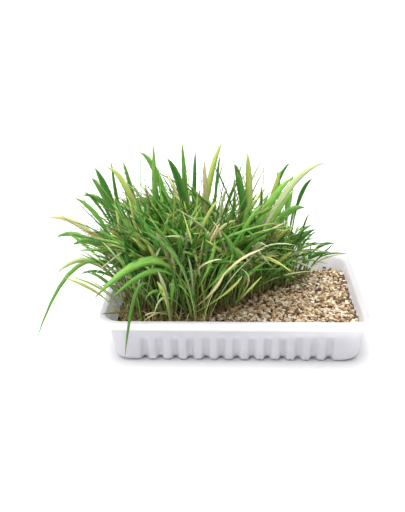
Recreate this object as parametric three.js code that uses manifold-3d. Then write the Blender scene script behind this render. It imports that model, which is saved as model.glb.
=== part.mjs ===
// Wheatgrass growing in a ribbed plastic tray of vermiculite. Millimetres, +Z up.
// The origin is the centre of the tray's base, +X runs along its long side and +Y to its back.
import * as THREE from 'three';
import { mergeVertices } from 'three/addons/utils/BufferGeometryUtils.js';
import Module from 'manifold-3d';

const wasm = await Module();
wasm.setup();

// Tray: outer size over the rim and sheet thickness. The upper wall flares out to the rim.
const trayLength = 187;
const trayWidth = 137;
const trayHeight = 33;
const sheet = 1;
const rimLand = 5.4;
const lipDrop = 4.8;
const rimCornerRadius = 14;
const wallCornerRadius = 11;
const cornerSteps = 6;
const upperWallHeight = 5;
const upperWallSlope = 0.5;
const draft = Math.tan(THREE.MathUtils.degToRad(7));
const baseFillet = 5;
const slopedSheet = 0.7 * sheet;
const rimEdge = { drop: 1.6, inset: 1.4 };
const rimMouth = { drop: 1, inset: 0.9 };
const cornerRoom = 0.1;

// Scallops: wide lobes with narrow grooves between them, which run out below the upper wall
const ribPitch = 10.4;
const grooveBottom = 0.07;
const grooveMouth = 0.3;
const longSideGrooves = 13;
const shortSideGrooves = 8;
const ribTop = 20.5;
const grooveDepths = [[0, 8], [1.2, 6.2], [5, 2.6], [17, 2], [ribTop, 0]];

// Vermiculite: its level, the size of the relief's grains and the gap to the tray
const fit = 0.35;
const bedTop = 20.5;
const sownTop = 19.5;
const grainSpacing = 4.9;
const grainHeight = 1.1;
const grainShift = 0.6;
const grainSkirt = 4;
const mound = { height: 0.7, x: 17, y: 13 };
const bandAboveRibs = 4;
const grainSeed = 7;

// Root plugs: seed, roots and the vermiculite they hold, in a staggered grid of plain holes
const plugRadius = 9.2;
const plugFootRadius = 6.5;
const plugFoot = 12;
const plugShoulder = 21;
const plugCrown = 22.6;
const plugSides = 8;
const plugColumns = 22;
const plugRows = [-44.5, -26.7, -8.9, 8.9, 26.7, 44.5];
const plugsInRow = [3, 2, 4, 4, 6, 6];
const firstPlugX = -70;
const plugCrownShare = 0.8;

// The line between the sown and the bare part of the bed, as [y, x]
const sownEdge = [[-61, -22], [-34, -16], [4, 20], [30, 52], [61, 79]];

// Blades: a flat upper face with a keel below it, closing to a point
const bladesPerPlug = 16;
const bladeRoot = 19;
const bladeThickness = 0.9;
const bladeClearance = 0.35;
const bladeTries = 60;
const placesTried = 8;
const bladeRings = [[0, 0.5], [0.22, 0.7], [0.5, 1], [0.78, 0.8]];
const groundClearance = 3;
const rimClearance = 1;
const tipRange = { x: [-128, 82], y: [-61, 84] };
const rootSpiral = { margin: 2, start: 6, turn: 2.4, shift: 0.3, seed: 500 };
const bladeSeed = 1000;
const faceTilt = 0.4;

// The length of blades, as [x of the root, length], and how much it falls off to the front
const standHeights = [[-10, 104], [20, 92], [45, 62], [75, 30]];
const frontFall = { from: -25, rate: 0.9 };

// The highest that a tip may be, as [x, height], lower to the back, and the lowest at the stand's edges
const canopy = [
  [-120, 56], [-105, 80], [-98, 96], [-65, 122], [-35, 110], [-22, 102], [-8, 82],
  [4, 94], [25, 104], [37, 94], [43, 58], [60, 42], [80, 30],
];
const canopyFall = { from: 10, rate: 0.3 };
const skirt = { height: 60, front: -34, left: -82 };

// How a blade grows, as [least, most by chance] where there are two numbers
const growth = {
  middle: [-22, 6],
  spread: [62, 140],
  rightmost: 0.6,
  scatter: [0.7, 0.55],
  turn: 3,
  lean: { least: 0.08, push: 0.42, chance: 0.28, most: 1.3 },
  arching: { share: 0.2, gain: 1.6 },
  length: [0.55, 0.65],
  crowded: [0.6, 0.4],
  bow: [0.04, 0.2],
  crown: [0.42, 0.28],
  width: [3.2, 2.2],
  facing: 1.6,
};

const colours = {
  tray: { color: 0xe9e9ee, roughness: 0.45, metalness: 0 },
  vermiculite: { color: 0xd8bd92, roughness: 0.9, metalness: 0 },
  grass: { color: 0x5f9a35, roughness: 0.55, metalness: 0 },
};

const { lerp, clamp } = THREE.MathUtils;

// A repeatable stream of numbers from 0 to 1
function randomStream(seed) {
  let state = seed >>> 0;
  return () => {
    state = (state + 0x6d2b79f5) >>> 0;
    let mixed = Math.imul(state ^ (state >>> 15), state | 1);
    mixed ^= mixed + Math.imul(mixed ^ (mixed >>> 7), mixed | 61);
    return ((mixed ^ (mixed >>> 14)) >>> 0) / 4294967296;
  };
}

// A value read off a list of [position, value] points
function readOff(points, at) {
  let k = 1;
  while (k < points.length - 1 && points[k][0] < at) k += 1;
  const [from, to] = [points[k - 1], points[k]];
  const share = clamp((at - from[0]) / (to[0] - from[0]), 0, 1);
  return lerp(from[1], to[1], share);
}

// Closed meshes and solids

function geometryOf(positions, faces) {
  const geometry = new THREE.BufferGeometry();
  geometry.setAttribute('position', new THREE.Float32BufferAttribute(positions.flat(), 3));
  geometry.setIndex(faces.flat());
  return geometry;
}

function solidFrom(geometry) {
  const bare = geometry.clone();
  bare.deleteAttribute('normal');
  bare.deleteAttribute('uv');
  const merged = mergeVertices(bare, 1e-4);
  const mesh = new wasm.Mesh({
    numProp: 3,
    vertProperties: merged.attributes.position.array,
    triVerts: new Uint32Array(merged.index.array),
  });
  return new wasm.Manifold(mesh);
}

function geometryFrom(solid) {
  const mesh = solid.getMesh();
  const geometry = new THREE.BufferGeometry();
  geometry.setAttribute('position', new THREE.BufferAttribute(mesh.vertProperties, 3));
  geometry.setIndex(new THREE.BufferAttribute(mesh.triVerts, 1));
  return geometry;
}

// Side faces between loops with the same number of points
function bandFaces(loops, perLoop, closed) {
  const faces = [];
  const bands = closed ? loops : loops - 1;
  for (let k = 0; k < bands; k += 1) {
    const low = k * perLoop;
    const high = ((k + 1) % loops) * perLoop;
    for (let i = 0; i < perLoop; i += 1) {
      const j = (i + 1) % perLoop;
      faces.push([low + i, low + j, high + j], [low + i, high + j, high + i]);
    }
  }
  return faces;
}

// A solid between level loops stacked from the lowest to the highest
function loft(loops) {
  const perLoop = loops[0].length;
  const last = (loops.length - 1) * perLoop;
  const centre = loops.length * perLoop;
  const faces = bandFaces(loops.length, perLoop, false);
  const foot = loops[0].map(([x, y]) => new THREE.Vector2(x, y));
  for (const [a, b, c] of THREE.ShapeUtils.triangulateShape(foot, [])) faces.push([a, c, b]);
  for (let i = 0; i < perLoop; i += 1) faces.push([centre, last + i, last + ((i + 1) % perLoop)]);
  return solidFrom(geometryOf([...loops.flat(), [0, 0, loops.at(-1)[0][2]]], faces));
}

// Tray

// How far the wall's outer face stands in from the rim's edge at a height
function wallInset(z) {
  const upper = Math.min(trayHeight - z, upperWallHeight) * upperWallSlope;
  const lower = Math.max(trayHeight - upperWallHeight - z, 0) * draft;
  return rimLand - sheet + upper + lower;
}

function lobeInset(z) {
  const rise = Math.max(baseFillet - z, 0);
  return wallInset(z) + baseFillet - Math.sqrt(baseFillet ** 2 - rise ** 2);
}

function grooveInset(z) {
  return wallInset(z) + readOff(grooveDepths, z);
}

// Points across one straight side, as [along, groove or lobe]
function ribPoints(grooves) {
  const points = [];
  for (let k = 0; k < grooves; k += 1) {
    const centre = (k - (grooves - 1) / 2) * ribPitch;
    for (const [offset, deep] of [
      [-grooveMouth, false], [-grooveBottom, true], [grooveBottom, true], [grooveMouth, false],
    ]) {
      points.push([centre + offset * ribPitch, deep]);
    }
  }
  return points;
}

// A level loop round the tray, anticlockwise from the front side; ribs is null for a plain one
function trayLoop(z, lobe, radius, ribs) {
  const halfX = trayLength / 2 - lobe;
  const halfY = trayWidth / 2 - lobe;
  const sides = [
    [halfX, halfY, longSideGrooves, 0],
    [halfY, halfX, shortSideGrooves, 1],
    [halfX, halfY, longSideGrooves, 2],
    [halfY, halfX, shortSideGrooves, 3],
  ];
  const loop = [];
  const place = (along, out, turns) => {
    const [cos, sin] = [[1, 0], [0, 1], [-1, 0], [0, -1]][turns];
    loop.push([along * cos + out * sin, along * sin - out * cos, z]);
  };
  for (const [halfAlong, halfOut, grooves, turns] of sides) {
    for (const [along, deep] of ribs === null ? [] : ribPoints(grooves)) {
      place(along, halfOut - (deep ? ribs - lobe : 0), turns);
    }
    for (let k = 0; k <= cornerSteps; k += 1) {
      const angle = (k / cornerSteps) * (Math.PI / 2);
      const along = halfAlong - radius + radius * Math.sin(angle);
      place(along, halfOut - radius + radius * Math.cos(angle), turns);
    }
  }
  return loop;
}

// The wall's corner radius, which shrinks at the base to leave room for the outermost grooves
function wallRadius(inset) {
  const grooveEdge = ((longSideGrooves - 1) / 2 + grooveMouth) * ribPitch;
  return Math.min(wallCornerRadius, trayLength / 2 - inset - grooveEdge - cornerRoom);
}

// The solid inside a ribbed wall face, which stands back from the outer face by lift and extra
function ribbedSolid(heights, lift, extra) {
  const loops = heights.map((z) => {
    const lobe = lobeInset(z) + extra;
    return trayLoop(z + lift, lobe, wallRadius(lobe), grooveInset(z) + extra);
  });
  const topInset = wallInset(ribTop - lift) + extra;
  loops.push(trayLoop(ribTop, topInset, wallCornerRadius, topInset));
  return loft(loops);
}

// The rim's section, as [inset, height, corner radius] round the land, the lip and the upper wall
function rimLoops() {
  const under = trayHeight - sheet;
  const lipFoot = trayHeight - lipDrop;
  const bend = trayHeight - upperWallHeight;
  const section = [
    [0, lipFoot, rimCornerRadius],
    [0, trayHeight - rimEdge.drop, rimCornerRadius],
    [rimEdge.inset, trayHeight, rimCornerRadius],
    [rimLand - rimMouth.inset, trayHeight, wallCornerRadius],
    [rimLand, trayHeight - rimMouth.drop, wallCornerRadius],
    [wallInset(bend) + slopedSheet, bend + sheet, wallCornerRadius],
    [wallInset(ribTop - sheet) + slopedSheet, ribTop, wallCornerRadius],
    [wallInset(ribTop), ribTop, wallCornerRadius],
    [wallInset(bend), bend, wallCornerRadius],
    [wallInset(under), under, wallCornerRadius],
    [sheet, under, rimCornerRadius],
    [sheet, lipFoot, rimCornerRadius],
  ];
  return section.map(([inset, z, radius]) => trayLoop(z, inset, radius, null));
}

function makeTray() {
  const rim = rimLoops();
  const rimSolid = solidFrom(geometryOf(rim.flat(), bandFaces(rim.length, rim[0].length, true)));
  const heights = grooveDepths.map(([z]) => z).filter((z) => z < ribTop);
  const inside = ribbedSolid(heights.filter((z) => z === 0 || z >= baseFillet), sheet, slopedSheet);
  return ribbedSolid(heights, 0, 0).subtract(inside).add(rimSolid);
}

// Vermiculite bed

// Loose grains on the bare part of the bed, as a relief of uneven heights
function grainRelief() {
  const random = randomStream(grainSeed);
  const columns = Math.ceil(trayLength / grainSpacing);
  const rows = Math.ceil(trayWidth / grainSpacing);
  const across = columns + 1;
  const positions = [];
  for (let j = 0; j <= rows; j += 1) {
    for (let i = 0; i <= columns; i += 1) {
      const x = (i - columns / 2 + (random() - 0.5) * grainShift) * grainSpacing;
      const y = (j - rows / 2 + (random() - 0.5) * grainShift) * grainSpacing;
      const level = bedTop + mound.height * Math.sin(x / mound.x) * Math.cos(y / mound.y);
      positions.push([x, y, level + (random() - 0.5) * 2 * grainHeight]);
    }
  }
  const below = positions.length;
  for (let k = 0; k < below; k += 1) {
    positions.push([positions[k][0], positions[k][1], bedTop - grainSkirt]);
  }
  const faces = [];
  const wall = (a, b) => faces.push([a, a + below, b + below], [a, b + below, b]);
  const isBare = (i, j) => (
    i >= 0 && i < columns && j >= 0 && j < rows
    && (i + 0.5 - columns / 2) * grainSpacing > readOff(sownEdge, (j + 0.5 - rows / 2) * grainSpacing)
  );
  for (let j = 0; j < rows; j += 1) {
    for (let i = 0; i < columns; i += 1) {
      if (!isBare(i, j)) continue;
      const a = j * across + i;
      const [b, c, d] = [a + 1, a + across + 1, a + across];
      faces.push([a, b, c], [a, c, d], [a + below, c + below, b + below], [a + below, d + below, c + below]);
      if (!isBare(i, j - 1)) wall(a, b);
      if (!isBare(i + 1, j)) wall(b, c);
      if (!isBare(i, j + 1)) wall(c, d);
      if (!isBare(i - 1, j)) wall(d, a);
    }
  }
  return solidFrom(geometryOf(positions, faces));
}

// A solid turned about a vertical axis from [radius, height] points
function turned(profile) {
  const lathe = new THREE.LatheGeometry(profile.map(([r, z]) => new THREE.Vector2(r, z)), plugSides);
  return solidFrom(lathe.rotateX(Math.PI / 2));
}

function plugCentres() {
  const centres = [];
  plugRows.forEach((y, row) => {
    for (let k = 0; k < plugsInRow[row]; k += 1) {
      centres.push([firstPlugX + (k + (row % 2) / 2) * plugColumns, y]);
    }
  });
  return centres;
}

function makeBed() {
  const aboveRibs = ribTop + bandAboveRibs;
  const followed = grooveDepths.map(([z]) => z).filter((z) => z >= baseFillet);
  const loops = [
    [sheet + fit, Math.max(grooveInset(0), lobeInset(0))],
    ...followed.map((z) => [z + sheet, grooveInset(z)]),
    [aboveRibs, wallInset(aboveRibs - sheet)],
  ].map(([z, inset]) => trayLoop(z, inset + slopedSheet + fit, wallCornerRadius, null));
  const inside = loft(loops);
  const lid = new THREE.BoxGeometry(trayLength, trayWidth, trayHeight);
  lid.translate(0, 0, sownTop + trayHeight / 2);
  let bed = inside.subtract(solidFrom(lid)).add(inside.intersect(grainRelief()));
  const hole = turned([
    [0, plugFoot - fit], [plugFootRadius + fit, plugFoot - fit], [plugRadius + fit, plugShoulder - 1],
    [plugRadius + fit, trayHeight], [0, trayHeight],
  ]);
  for (const [x, y] of plugCentres()) bed = bed.subtract(hole.translate([x, y, 0]));
  return bed;
}

// Grass

// The blades that stand out: root, tip, how the blade bends on its way, and its width.
// bow is the share of the way across at the bend, and crown is the bend's height.
const standouts = [
  { root: [-58, 10], tip: [-58, 5, 136], bow: 0.5, crown: 100, width: 4.6 },
  { root: [-38, 20], tip: [-69, 15, 127], bow: 0.38, crown: 122, width: 5.6 },
  { root: [-33, 12], tip: [-39, 18, 134], bow: 0.5, crown: 100, width: 4.6 },
  { root: [-32, 27], tip: [-30, 30, 125], bow: 0.5, crown: 90, width: 3.6 },
  { root: [-27, 20], tip: [-10, 15, 135], bow: 0.15, crown: 110, width: 5.2 },
  { root: [-23, 8], tip: [-23, 8, 124], bow: 0.5, crown: 90, width: 4.4 },
  { root: [-29, 3], tip: [-48, -5, 128], bow: 0.16, crown: 110, width: 6.8 },
  { root: [-73, 30], tip: [-84, 35, 116], bow: 0.1, crown: 90, width: 4 },
  { root: [-77, 24], tip: [-91, 25, 120], bow: 0.8, crown: 70, width: 3.6 },
  { root: [-71, 10], tip: [-92, 5, 119], bow: 0.18, crown: 115, width: 5.2 },
  { root: [-77, 5], tip: [-99, 0, 120], bow: 0.4, crown: 100, width: 6.6 },
  { root: [-76, 18], tip: [-106, 25, 105], bow: 0.7, crown: 100, width: 5 },
  { root: [-77, 13], tip: [-112, 15, 95], bow: 0.5, crown: 100, width: 5 },
  { root: [-76, 2], tip: [-115, 0, 98], bow: 0.5, crown: 92, width: 4.4 },
  { root: [-74, -3], tip: [-134, -10, 86], bow: 0.5, crown: 94, width: 5.2 },
  { root: [-76, 9], tip: [-132, 10, 64], bow: 0.7, crown: 80, width: 4.6 },
  { root: [-76, -8], tip: [-115, -15, 68], bow: 0.42, crown: 83, width: 6.4 },
  { root: [-72, -15], tip: [-125, -30, 52], bow: 0.5, crown: 80, width: 5 },
  { root: [-74, -22], tip: [-140, -45, 6], bow: 0.49, crown: 110, width: 3.6 },
  { root: [-30, -42], tip: [-93, -68, 51], bow: 0.12, crown: 105, width: 8 },
  { root: [-30, -46], tip: [-84, -70, 49], bow: 0.14, crown: 94, width: 5 },
  { root: [-50, -38], tip: [-73, -80, 14], bow: 0.6, crown: 104, width: 3.6 },
  { root: [7, 10], tip: [-2, 10, 120], bow: 0.2, crown: 110, width: 6 },
  { root: [12, 4], tip: [7, 0, 131], bow: 0.3, crown: 105, width: 6 },
  { root: [19, 27], tip: [39, 30, 116], bow: 0.1, crown: 100, width: 4 },
  { root: [30, 26], tip: [29, 20, 112], bow: 0.5, crown: 90, width: 5 },
  { root: [-1, -7], tip: [59, -10, 126], bow: 0.5, crown: 122, width: 5.6 },
  { root: [38, 30], tip: [56, 35, 102], bow: 0.15, crown: 95, width: 4 },
  { root: [34, 24], tip: [40, 15, 110], bow: 0.1, crown: 90, width: 6 },
  { root: [17, 5], tip: [48, 0, 91], bow: 0.38, crown: 95, width: 6.4 },
  { root: [41, 34], tip: [60, 35, 62], bow: 0.22, crown: 62, width: 3.6 },
  { root: [52, 46], tip: [76, 45, 47], bow: 0.3, crown: 50, width: 3.6 },
  { root: [45, 40], tip: [73, 40, 42], bow: 0.3, crown: 42, width: 3.6 },
];

// Blades are longest over the left half, and shorter to the right and the front
function standHeight(x, y) {
  return readOff(standHeights, x) - Math.max(frontFall.from - y, 0) * frontFall.rate;
}

// A drawn blade ends under the canopy, and doesn't flop over the front or the left rim
function inCrown([x, y, z]) {
  const under = z < readOff(canopy, x) - Math.max(y - canopyFall.from, 0) * canopyFall.rate;
  return under && (z > skirt.height || (y > skirt.front && x > skirt.left));
}

// One try at a blade, leaning away from the middle of the stand. Later tries are calmer and smaller.
function drawnBlade({ root, angle, seed }, attempt) {
  const random = randomStream(seed + attempt);
  const some = ([least, more]) => least + more * random();
  const wild = 1 - attempt / bladeTries;
  const [x, y] = root;
  const { middle, spread, scatter, lean, arching, crowded } = growth;
  const heading = angle + (random() - 0.5) * growth.turn * wild;
  const outX = Math.min((x - middle[0]) / spread[0], growth.rightmost);
  const pushX = outX + scatter[0] * wild * Math.cos(heading);
  const pushY = (y - middle[1]) / spread[1] + scatter[1] * wild * Math.sin(heading);
  const push = Math.hypot(pushX, pushY) + 1e-6;
  const gain = random() < arching.share ? arching.gain : 1;
  const tilt = (lean.least + lean.push * push + lean.chance * random() * wild) * gain;
  const away = Math.min(tilt, lean.most);
  const length = standHeight(x, y) * some(growth.length) * (crowded[0] + crowded[1] * wild);
  const reach = length * Math.sin(away);
  const toX = clamp(x + (reach * pushX) / push, ...tipRange.x);
  const toY = clamp(y + (reach * pushY) / push, ...tipRange.y);
  return {
    root,
    tip: [toX, toY, bladeRoot + length * Math.cos(away)],
    bow: some(growth.bow),
    crown: bladeRoot + length * some(growth.crown),
    width: growth.width[0] + growth.width[1] * random() * wild,
    face: Math.atan2(pushY, pushX) + (random() - 0.5) * growth.facing + Math.PI,
  };
}

// Centre line, width and facing at each ring of a blade
function bladeRingsOf(blade) {
  const [x, y] = blade.root;
  const [toX, toY, toZ] = blade.tip;
  const start = new THREE.Vector3(x, y, bladeRoot);
  const bend = new THREE.Vector3(lerp(x, toX, blade.bow), lerp(y, toY, blade.bow), blade.crown);
  const curve = new THREE.QuadraticBezierCurve3(start, bend, new THREE.Vector3(toX, toY, toZ));
  const chord = curve.v2.clone().sub(start).normalize();
  const face = blade.face ?? -Math.PI / 2;
  const facing = new THREE.Vector3(Math.cos(face), Math.sin(face), faceTilt);
  facing.addScaledVector(chord, -facing.dot(chord)).normalize();
  return [...bladeRings, [1, 0]].map(([share, widthShare]) => {
    const centre = curve.getPoint(share);
    const side = curve.getTangent(share).cross(facing).normalize();
    const back = side.clone().cross(curve.getTangent(share)).normalize();
    return { centre, side, back, half: (blade.width * widthShare) / 2 };
  });
}

function bladeSolid(rings) {
  const positions = [];
  for (const { centre, side, back, half } of rings.slice(0, -1)) {
    for (const point of [
      centre.clone().addScaledVector(side, -half),
      centre.clone().addScaledVector(back, bladeThickness),
      centre.clone().addScaledVector(side, half),
    ]) {
      positions.push(point.toArray());
    }
  }
  const tip = positions.length;
  positions.push(rings.at(-1).centre.toArray());
  const last = tip - 3;
  const faces = [
    ...bandFaces(rings.length - 1, 3, false),
    [0, 2, 1], [last, last + 1, tip], [last + 1, last + 2, tip], [last + 2, last, tip],
  ];
  return solidFrom(geometryOf(positions, faces));
}

// The blade's stretches as slim boxes, for keeping blades apart
function stretchesOf(rings) {
  return rings.slice(1).map((end, k) => {
    const start = rings[k];
    const side = start.side.clone().add(end.side).normalize();
    const along = end.centre.clone().sub(start.centre);
    const length = along.length();
    along.divideScalar(length);
    const back = side.clone().cross(along).normalize();
    const centre = start.centre.clone().add(end.centre).multiplyScalar(0.5);
    centre.addScaledVector(back, bladeThickness / 2);
    const halfSide = Math.max(start.half, end.half);
    return { centre, axes: [side, back, along], halves: [halfSide, bladeThickness / 2, length / 2] };
  });
}

// Whether two slim boxes stay clear of each other along one of their axes
function clearOf(a, b, gap) {
  const between = b.centre.clone().sub(a.centre);
  const farthest = a.halves[2] + b.halves[2] + a.halves[0] + b.halves[0] + gap;
  if (between.length() > farthest) return true;
  const candidates = [...a.axes, ...b.axes];
  for (const p of a.axes) {
    for (const q of b.axes) candidates.push(p.clone().cross(q));
  }
  return candidates.some((axis) => {
    const size = axis.length();
    if (size < 1e-6) return false;
    let reach = gap * size;
    for (const box of [a, b]) {
      box.axes.forEach((own, k) => {
        reach += Math.abs(own.dot(axis)) * box.halves[k];
      });
    }
    return Math.abs(between.dot(axis)) > reach;
  });
}

function staysAbove(rings) {
  return rings.every(({ centre, half }) => centre.z - half > groundClearance);
}

// The tray's rim and the bed are kept clear by each stretch above the plugs
function clearOfTray(rings) {
  return rings.slice(1).every(({ centre, half }) => {
    const inner = wallInset(trayHeight - upperWallHeight) + sheet + rimClearance;
    const overX = Math.abs(centre.x) + half > trayLength / 2 - inner;
    const overY = Math.abs(centre.y) + half > trayWidth / 2 - inner;
    const outX = Math.abs(centre.x) - half > trayLength / 2 + rimClearance;
    const outY = Math.abs(centre.y) - half > trayWidth / 2 + rimClearance;
    return !(overX || overY) || outX || outY || centre.z - half > trayHeight + 2 * rimClearance;
  });
}

// The places in the plugs that a blade grows from, in a sunflower's spiral
function rootPlaces() {
  const places = [];
  plugCentres().forEach(([plugX, plugY], plug) => {
    const random = randomStream(rootSpiral.seed + plug);
    const start = random() * rootSpiral.start;
    for (let k = 0; k < bladesPerPlug; k += 1) {
      const away = (plugRadius - rootSpiral.margin) * Math.sqrt((k + 0.5) / bladesPerPlug);
      const angle = start + k * rootSpiral.turn + rootSpiral.shift * random();
      const root = [plugX + away * Math.cos(angle), plugY + away * Math.sin(angle)];
      const seed = bladeSeed + (plug * bladesPerPlug + k) * bladeTries;
      places.push({ plug, root, angle, seed, free: true });
    }
  });
  return places;
}

// Every blade of the stand, as its plug and its rings, none of them crossing another
function growStand() {
  const places = rootPlaces();
  const grown = [];
  const grow = (place, rings) => {
    const stretches = stretchesOf(rings);
    const fits = staysAbove(rings) && clearOfTray(rings) && grown.every((other) => (
      stretches.every((a) => other.stretches.every((b) => clearOf(a, b, bladeClearance)))
    ));
    if (!fits) return false;
    grown.push({ plug: place.plug, rings, stretches });
    place.free = false;
    return true;
  };
  for (const blade of standouts) {
    const away = ({ root }) => Math.hypot(root[0] - blade.root[0], root[1] - blade.root[1]);
    const near = places.filter(({ free }) => free).sort((a, b) => away(a) - away(b)).slice(0, placesTried);
    near.some((place) => grow(place, bladeRingsOf({ ...blade, root: place.root })));
  }
  for (const place of places.filter(({ free }) => free)) {
    for (let attempt = 0; attempt < bladeTries; attempt += 1) {
      const blade = drawnBlade(place, attempt);
      if (inCrown(blade.tip) && grow(place, bladeRingsOf(blade))) break;
    }
  }
  return grown;
}

function makeClump([x, y], blades) {
  const plug = turned([
    [0, plugFoot], [plugFootRadius, plugFoot], [plugRadius, plugShoulder - 1],
    [plugRadius * plugCrownShare, plugShoulder + 0.2], [0, plugCrown],
  ]);
  let clump = plug.translate([x, y, 0]);
  for (const { rings } of blades) clump = clump.add(bladeSolid(rings));
  return clump;
}

// Assembly

function piece(name, solid, look) {
  const mesh = new THREE.Mesh(geometryFrom(solid), new THREE.MeshStandardMaterial(look));
  mesh.name = name;
  return mesh;
}

const wheatgrassTray = new THREE.Group();
wheatgrassTray.add(piece('tray', makeTray(), colours.tray));
wheatgrassTray.add(piece('vermiculite_bed', makeBed(), colours.vermiculite));
const stand = growStand();
plugCentres().forEach((centre, plug) => {
  const name = 'grass_clump_' + String(plug + 1).padStart(2, '0');
  const blades = stand.filter((blade) => blade.plug === plug);
  wheatgrassTray.add(piece(name, makeClump(centre, blades), colours.grass));
});

export default wheatgrassTray;
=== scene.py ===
import math
import numpy as np
import bpy
import bmesh
from mathutils import Matrix, Vector


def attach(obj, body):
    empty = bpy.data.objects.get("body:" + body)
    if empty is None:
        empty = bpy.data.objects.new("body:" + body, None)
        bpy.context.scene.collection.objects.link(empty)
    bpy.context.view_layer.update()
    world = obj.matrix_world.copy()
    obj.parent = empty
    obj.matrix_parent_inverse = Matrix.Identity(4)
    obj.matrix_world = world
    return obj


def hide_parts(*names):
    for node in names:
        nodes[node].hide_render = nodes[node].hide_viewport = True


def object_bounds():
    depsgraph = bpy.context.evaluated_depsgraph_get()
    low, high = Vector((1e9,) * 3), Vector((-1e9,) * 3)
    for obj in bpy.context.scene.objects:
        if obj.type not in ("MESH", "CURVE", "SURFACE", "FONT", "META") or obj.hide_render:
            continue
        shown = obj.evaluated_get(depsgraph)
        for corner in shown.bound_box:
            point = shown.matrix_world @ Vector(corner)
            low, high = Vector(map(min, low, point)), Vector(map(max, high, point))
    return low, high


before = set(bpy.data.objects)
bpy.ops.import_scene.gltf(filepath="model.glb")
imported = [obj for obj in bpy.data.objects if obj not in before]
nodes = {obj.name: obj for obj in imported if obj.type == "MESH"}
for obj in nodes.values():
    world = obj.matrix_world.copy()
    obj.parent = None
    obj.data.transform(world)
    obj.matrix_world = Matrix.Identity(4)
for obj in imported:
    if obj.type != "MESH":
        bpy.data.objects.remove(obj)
frameLow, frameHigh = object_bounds()
bpy.ops.object.select_all(action='DESELECT')
mm = 0.001
print("frame loaded")


# Small helpers

def srgb(code):
    channels = [int(code[k:k + 2], 16) / 255 for k in (0, 2, 4)]
    return tuple(c / 12.92 if c <= 0.04045 else ((c + 0.055) / 1.055) ** 2.4 for c in channels) + (1.0,)


def addNode(tree, kind, settings=None, links=None):
    # settings are properties or input values; links are input name -> output socket
    made = tree.nodes.new(kind)
    for key, value in (settings or {}).items():
        if hasattr(made, key):
            setattr(made, key, value)
        else:
            made.inputs[key].default_value = value
    for key, socket in (links or {}).items():
        tree.links.new(socket, made.inputs[key])
    return made


def newMaterial(name, settings):
    material = bpy.data.materials.new(name)
    material.use_nodes = True
    shader = material.node_tree.nodes["Principled BSDF"]
    for key, value in settings.items():
        shader.inputs[key].default_value = value
    return material, material.node_tree, shader


def ramp(tree, source, stops):
    made = addNode(tree, 'ShaderNodeValToRGB', links={'Fac': source})
    band = made.color_ramp
    while len(band.elements) < len(stops):
        band.elements.new(0.5)
    for element, (place, code) in zip(band.elements, stops):
        element.position = place
        element.color = srgb(code)
    return made.outputs['Color']


def addMultiply(tree, shader, first, second, factor):
    # the base colour is one colour multiplied by another
    mixed = addNode(tree, 'ShaderNodeMix', {'data_type': 'RGBA', 'blend_type': 'MULTIPLY'})
    mixed.inputs[0].default_value = factor
    tree.links.new(first, mixed.inputs[6])
    tree.links.new(second, mixed.inputs[7])
    tree.links.new(mixed.outputs[2], shader.inputs['Base Color'])


def addBump(tree, shader, texture, strength, distance):
    heights = {'Height': texture.outputs['Fac']}
    bump = addNode(tree, 'ShaderNodeBump', {'Strength': strength, 'Distance': distance}, heights)
    tree.links.new(bump.outputs['Normal'], shader.inputs['Normal'])


def meshPiece(name, points, faces, material):
    mesh = bpy.data.meshes.new(name)
    mesh.from_pydata([tuple(p) for p in points], [], [tuple(f) for f in faces])
    mesh.update()
    piece = bpy.data.objects.new(name, mesh)
    bpy.context.collection.objects.link(piece)
    piece.data.materials.append(material)
    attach(piece, "root")
    return piece


def paintPoints(piece, name, colours):
    layer = piece.data.color_attributes.new(name, 'FLOAT_COLOR', 'POINT')
    layer.data.foreach_set('color', np.asarray(colours, dtype=np.float32).ravel())


# Repeatable random numbers, the same stream as the solids use

def randomStream(seed):
    full = 0xFFFFFFFF
    state = seed & full

    def draw():
        nonlocal state
        state = (state + 0x6D2B79F5) & full
        mixed = ((state ^ (state >> 15)) * (state | 1)) & full
        mixed ^= (mixed + (((mixed ^ (mixed >> 7)) * (mixed | 61)) & full)) & full
        return ((mixed ^ (mixed >> 14)) & full) / 4294967296

    return draw


# Where the photo was taken from: place in m, angles in degrees, focal length and middle in its pixels
view = {
    'place': (-0.0054, -0.5549, 0.274), 'pitch': 21.6, 'yaw': 1.97, 'roll': 0.51,
    'focalPixels': 828, 'middle': (202.5, 256), 'photoWidth': 512, 'filmWidth': 36,
}


def viewAxes():
    # the camera's directions across, up and forward
    pitch, yaw, roll = (math.radians(view[key]) for key in ('pitch', 'yaw', 'roll'))
    forward = Vector((-math.sin(yaw) * math.cos(pitch), math.cos(yaw) * math.cos(pitch), -math.sin(pitch)))
    level = Vector((math.cos(yaw), math.sin(yaw), 0))
    above = level.cross(forward)
    across = level * math.cos(roll) - above * math.sin(roll)
    upward = level * math.sin(roll) + above * math.cos(roll)
    return across, upward, forward


# Tray: moulded polypropylene, sizes in mm as in the solids; the inset is measured in from the rim's edge

tray = {
    'length': 187, 'width': 137, 'height': 33, 'sheet': 1.0,
    'rimLand': 5.4, 'lipDrop': 4.8, 'rimRadius': 14, 'wallRadius': 11,
    'upperWall': 5, 'upperSlope': 0.5, 'draft': math.tan(math.radians(7)), 'baseFillet': 5,
    'ribPitch': 10.4, 'longGrooves': 13, 'shortGrooves': 8, 'ribTop': 20.5,
    'grooveDepths': [(0, 8), (1.2, 6.2), (2.5, 4.6), (5, 2.6), (17, 2), (20.5, 0)],
    'pointsPerRib': 14, 'cornerSteps': 18, 'grooveFlat': 0.05, 'grooveShoulder': 0.29, 'cornerGap': 0.05,
    'wallHeights': [
        0, 0.15, 0.4, 0.8, 1.4, 2.2, 3.2, 4.2, 5.2, 7, 10, 13, 15.5, 17, 18.2, 19.2, 20, 20.5, 24,
    ],
    'insideStep': 0.7,
}
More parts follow.
